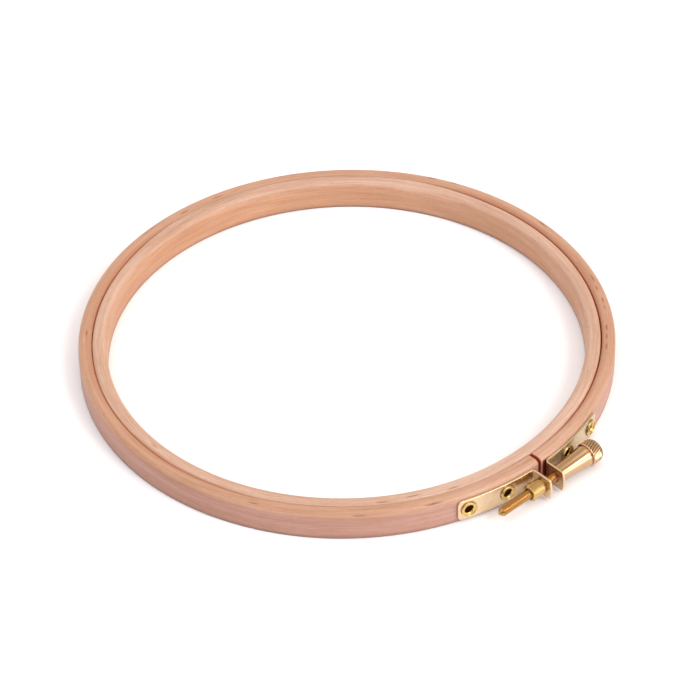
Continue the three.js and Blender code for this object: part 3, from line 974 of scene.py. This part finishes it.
# the larger marks in the wood:
# along the ring from its seam, radius, height, half length, half width, strength
MARKS_OUTER = [
    (433.5, 138.1, 15.6, 4, 0.8, 0.6), (410.9, 138.1, 15.6, 5, 0.7, 0.6),
    (285.1, 140.7, 15.6, 5, 0.9, 0.7), (272.0, 140.9, 15.6, 4, 0.8, 0.6),
    (210.3, 140.4, 15.6, 5, 0.8, 0.7), (156.3, 139.7, 15.6, 5, 0.8, 0.7),
    (147.6, 139.0, 15.6, 3, 0.8, 0.6), (137.0, 139.5, 15.6, 4, 0.8, 0.7),
    (131.1, 139.4, 15.6, 3, 0.7, 0.6), (114.4, 138.4, 15.6, 4, 0.8, 0.7),
    (107.0, 138.2, 15.6, 3, 0.7, 0.6), (98.7, 138.3, 15.6, 4, 0.8, 0.6),
    (552.1, 138.8, 15.6, 4, 0.8, 0.6), (724.8, 140.6, 15.6, 5, 0.7, 0.5),
    (778.1, 142.2, 14.6, 5, 0.7, 0.5), (815.3, 141.5, 15.2, 7, 0.8, 0.8),
    (457.0, 140.6, 15.4, 12, 0.6, 0.45)]
MARKS_INNER = [
    (712.8, 134.0, 15.4, 5, 0.7, 0.6), (729.7, 133.0, 15.6, 6, 0.7, 0.6),
    (751.9, 134.2, 15.3, 6, 0.7, 0.6), (577.7, 132.3, 15.6, 4, 0.7, 0.5)]

# ---------------------------------------------------------------- brass
# the marks of how a part was made: stretch and scale of the noise, then the bump
FINISHES = {
    "rolled": dict(stretch=(0.12, 0.12, 9.0), scale=1.0, detail=3.0, rough=0.65,
                   strength=0.10, distance=0.00003),     # fine lines along the strip
    "turned": dict(stretch=(11.0, 0.05, 0.05), scale=1.0, detail=3.0, rough=0.7,
                   strength=0.22, distance=0.00005),     # fine rings round the screw's axis
    "polished": dict(stretch=(5.0, 0.05, 0.05), scale=1.0, detail=2.0, rough=0.5,
                     strength=0.05, distance=0.00003),
    "pressed": dict(stretch=None, scale=3.0, detail=3.0, rough=0.6,
                    strength=0.07, distance=0.00004)}
# the second colour on the next line is painted shade and dark reflection between the ears
GROOVE_TARNISH, EAR_GAP_SHADE = rgb(0.15, 0.055, 0.012), rgb(0.27, 0.085, 0.015)
DULL_BRASS = rgb(0.46, 0.37, 0.24)


def cut_tarnish(n, point, base, start, end, crest, depth, amount):
    """Dark tarnish left in grooves of this depth below the crest radius, from start to end in x."""
    x = n.split(point)[0]
    from_axis = n.vec("SUBTRACT", point, (0, -SCREW_DIST, SCREW_Z))
    radius = n.vec("LENGTH", n.vec("MULTIPLY", from_axis, (0, 1, 1)))
    dark = n.mul(n.ramp(x, over=(start, start + 0.4)), n.ramp(x, over=(end - 0.4, end), to=(1.0, 0.0)))
    dark = n.mul(dark, n.ramp(radius, over=(crest - depth, crest - 0.25 * depth), to=(amount, 0.0)))
    return n.mix(dark, base, GROOVE_TARNISH)


def shade_between_ears(n, point, base):
    """Painted shade and dark reflection between the ears, deepest by the wood, and a duller right strip.
    Also gives the strip's metallic value."""
    x, y, _ = n.split(point)
    across = n.mul(n.ramp(x, over=(-4.3, -4.0)), n.ramp(x, over=(3.7, 4.1), to=(1.0, 0.0)))
    by_wood, everywhere = 0.3, 0.5
    amount = n.math("MULTIPLY_ADD", n.ramp(y, over=(-152.0, -145.5)), by_wood, everywhere)
    spare = 0.6                                # a third input, which MULTIPLY doesn't read
    base = n.mix(n.math("MULTIPLY", across, amount, spare), base, EAR_GAP_SHADE)
    base = n.mix(n.ramp(x, over=(10.0, 22.0), to=(0.0, 0.55)), base, DULL_BRASS)
    return base, n.ramp(x, over=(5.0, 9.0), to=(1.0, 0.84))


def brass(name, colour, rough, finish, tarnish=0.25, ears=False, cut=None):
    """Polished brass. ears: adds the painted shade between the ears and the duller right strip. cut: the
    arguments of cut_tarnish().
    """
    mat, n, bsdf = material(name)
    point = n.vec("SUBTRACT", n.vec("MULTIPLY", n.coords(), (1000, 1000, 1000)), (0, RING_Y, 0))
    made = FINISHES[finish]
    stretched = n.vec("MULTIPLY", point, made["stretch"]) if made["stretch"] else point
    lines = n.noise(stretched, made["scale"], made["detail"], made["rough"])
    cloud = n.noise(point, scale=0.35, detail=3.0, rough=0.55)
    speck = n.noise(point, scale=2.6, detail=3.0, rough=0.6)
    red, green, blue = colour
    deep = rgb(red * 0.80, green * 0.66, blue * 0.50)
    pale = rgb(min(1, red * 1.05), min(1, green * 1.07), min(1, blue * 1.18))
    base = n.mix(n.ramp(cloud, over=(0.3, 0.7)), rgb(*colour), pale)
    base = n.mix(n.mul(n.ramp(speck, over=(0.5, 0.8)), tarnish), base, deep)
    metallic = 1.0
    if cut:
        base = cut_tarnish(n, point, base, **cut)
    if ears:
        base, metallic = shade_between_ears(n, point, base)
    n.put(bsdf, "Base Color", base)
    n.put(bsdf, "Metallic", metallic)
    n.put(bsdf, "Roughness", n.ramp(speck, over=(0.3, 0.75), to=(rough * 0.8, rough * 1.45)))
    n.put(bsdf, "Normal", n.bump(lines, made["strength"], made["distance"]))
    return mat


# ---------------------------------------------------------------- materials on the parts
inner_mat = beech(
    "beech_inner_ring", top=rgb(0.52, 0.318, 0.235), wall=rgb(0.515, 0.268, 0.158),
    crown_z=(13.4, 15.6), marks=MARKS_INNER, slot=dict(over=(INNER_R - 0.8, INNER_R - 0.2)))
outer_mat = beech(
    "beech_outer_ring", top=rgb(0.474, 0.257, 0.171), wall=rgb(0.437, 0.229, 0.170),
    crown_z=(12.8, 15.0), marks=MARKS_OUTER, shift=31.7,
    slot=dict(over=(OUTER_BORE_R + 0.3, OUTER_BORE_R + 0.9), to=(1.0, 0.0)),
    ends=(GAP_RIGHT + SAWN_ROUND + 0.02, 2 * pi * MID_R + GAP_LEFT - SAWN_ROUND - 0.02))
strip_mat = brass("brass_rolled_strip", (0.78, 0.59, 0.37), rough=0.26, finish="rolled", ears=True)
eyelet_mat = brass("brass_pressed_eyelet", (0.66, 0.47, 0.19), rough=0.17, finish="pressed")
nut_mat = brass("brass_turned_nut", (0.58, 0.375, 0.145), rough=0.2, finish="turned")
rod_mat = brass(
    "brass_cut_rod", (0.50, 0.275, 0.09), rough=0.16, finish="pressed",
    cut=dict(start=ROD_X0 - 1.0, end=ROD_X1, crest=ROD_R, depth=0.42, amount=0.1))
knob_mat = brass(
    "brass_polished_knob", (0.585, 0.375, 0.215), rough=0.09, finish="polished", tarnish=0.15,
    cut=dict(start=KNURL_X0, end=35.2, crest=KNOB_R, depth=KNURL_DEPTH, amount=0.6))

dressed = [(inner_wood, inner_mat), (outer_wood, outer_mat), (nut_strip, strip_mat),
           (screw_strip, strip_mat), (nut, nut_mat), (rod, rod_mat), (knob, knob_mat)]
dressed += [(ob, eyelet_mat) for ob in eyelets.values()]
for ob, mat in dressed:
    ob.data.materials.clear()
    ob.data.materials.append(mat)


# ---------------------------------------------------------------- floor
def white_floor():
    bm = bmesh.new()
    bmesh.ops.create_grid(bm, x_segments=8, y_segments=8, size=4.0)
    mesh = bpy.data.meshes.new("floor")
    bm.to_mesh(mesh)
    bm.free()
    ob = bpy.data.objects.new("floor", mesh)
    ob.location = (0, 0, -0.00006)
    collection.objects.link(ob)
    mat, n, bsdf = material("floor_white")
    paper = n.noise(n.coords(), scale=40.0)
    n.put(bsdf, "Base Color", n.mix(paper, rgb(0.93, 0.912, 0.95), rgb(0.945, 0.927, 0.965)))
    n.put(bsdf, "Roughness", 0.7)
    n.put(bsdf, "Specular IOR Level", 0.2)
    mesh.materials.append(mat)
    return ob


white_floor()

# ---------------------------------------------------------------- camera
CAMERA_TURN, CAMERA_ELEVATION = radians(42.0), 0.7099    # about the rings' centre
CAMERA_DIST, LENS = 1640.83, 157.3566223                 # mm
ROLL, PAN, TILT = 0.0237, 0.00098, 0.00095               # small turns of the camera itself


def turn_in_plane(angle, a, b):
    """Rotation matrix that turns axis a towards axis b."""
    m = np.identity(3)
    m[a, a] = m[b, b] = cos(angle)
    m[a, b], m[b, a] = -sin(angle), sin(angle)
    return m


def add_camera():
    turn = turn_in_plane(CAMERA_TURN, 0, 1)
    eye = np.array([0, -CAMERA_DIST * cos(CAMERA_ELEVATION), CAMERA_DIST * sin(CAMERA_ELEVATION)])
    forward = -eye / np.linalg.norm(eye)
    right = np.array([1.0, 0, 0])
    basis = np.array([right, np.cross(right, forward), forward])
    own = turn_in_plane(ROLL, 0, 1) @ turn_in_plane(TILT, 1, 2) @ turn_in_plane(PAN, 0, 2)
    axes = own @ basis @ turn                  # rows: view's right, view's up, forward
    place = turn.T @ eye
    data = bpy.data.cameras.new("camera")
    data.sensor_width = 36.0
    data.lens = LENS
    data.clip_start, data.clip_end = 0.05, 50
    cam = bpy.data.objects.new("camera", data)
    collection.objects.link(cam)
    matrix = Matrix.Identity(4)
    for i in range(3):
        matrix[i][0], matrix[i][1], matrix[i][2] = axes[0][i], axes[1][i], -axes[2][i]
        matrix[i][3] = (place[i] + (RING_Y if i == 1 else 0)) * MM
    cam.matrix_world = matrix
    bpy.context.scene.camera = cam


add_camera()

# ---------------------------------------------------------------- studio light, all in the world
scene = bpy.context.scene
scene.view_settings.view_transform = "Standard"
scene.view_settings.look = "None"

# windows in the surroundings, in degrees, azimuth from +X towards +Y:
# operation, strength, azimuth, half width, lowest and highest elevation, softness of the edge
SOFTBOXES = [
    ("ADD", 0.35, 150, 60, 5, 60, 8),
    ("SUBTRACT", 0.6, -168, 50, -10, 38, 9),
    ("ADD", 1.9, -65, 9, -6, 23, 1.8),
    ("ADD", 9.0, -76, 17, 31, 58, 4)]
SHADE_TOWARDS, SHADE_HALF_ANGLE, SHADE_EDGE = (0.75, 0.05, 0.66), 50, 9
OVERHEAD_STRENGTH, BACKDROP_STRENGTH = 0.9, 1.05


def studio_world():
    world = bpy.data.worlds.new("studio")
    scene.world = world
    world.use_nodes = True
    world.node_tree.nodes.clear()
    n = Nodes(world.node_tree)
    direction = n.coords("Generated")
    dx, dy, dz = n.split(direction)

    def softbox(azimuth, half_width, lowest, highest, edge):
        a, e = radians(azimuth), radians(edge)

        def around(limit):
            return radians(limit) - e, radians(limit) + e

        along = n.add(n.mul(dx, cos(a)), n.mul(dy, sin(a)))
        across = n.math("SUBTRACT", n.mul(dy, cos(a)), n.mul(dx, sin(a)))
        sideways = n.math("ABSOLUTE", n.math("ARCTAN2", across, along))
        elevation = n.math("ARCSINE", dz)
        inside = n.ramp(sideways, over=around(half_width), to=(1.0, 0.0))
        above = n.ramp(elevation, over=around(lowest))
        below = n.ramp(elevation, over=around(highest), to=(1.0, 0.0))
        return n.mul(inside, n.mul(above, below))

    # the unlit part of the room, seen in the tops of the brass
    towards = n.vec("DOT_PRODUCT", direction, tuple(Vector(SHADE_TOWARDS).normalized()))
    shade = n.ramp(towards, over=(cos(radians(SHADE_HALF_ANGLE + SHADE_EDGE)),
                                  cos(radians(SHADE_HALF_ANGLE - SHADE_EDGE))))
    level = n.ramp(shade, over=(0.0, 1.0), to=(1.0, 0.74), kind="LINEAR")
    level = n.add(level, n.mul(n.ramp(dz, over=(0.86, 0.96)), OVERHEAD_STRENGTH))
    for operation, strength, *window in SOFTBOXES:
        level = n.math(operation, level, n.mul(softbox(*window), strength))
    tint = n.mix(shade, rgb(0.985, 0.995, 1.0), rgb(1.0, 0.90, 0.74))
    studio = n.new("ShaderNodeBackground", Color=tint, Strength=level)
    # the camera itself sees plain white
    white = n.new("ShaderNodeBackground", Color=rgb(1, 1, 1), Strength=BACKDROP_STRENGTH)
    seen_directly = n.new("ShaderNodeLightPath").outputs["Is Camera Ray"]
    both = n.new("ShaderNodeMixShader", i0=seen_directly, i1=studio.outputs[0], i2=white.outputs[0])
    n.new("ShaderNodeOutputWorld", i0=both.outputs[0])


studio_world()

# ---------------------------------------------------------------- update
bpy.context.view_layer.update()
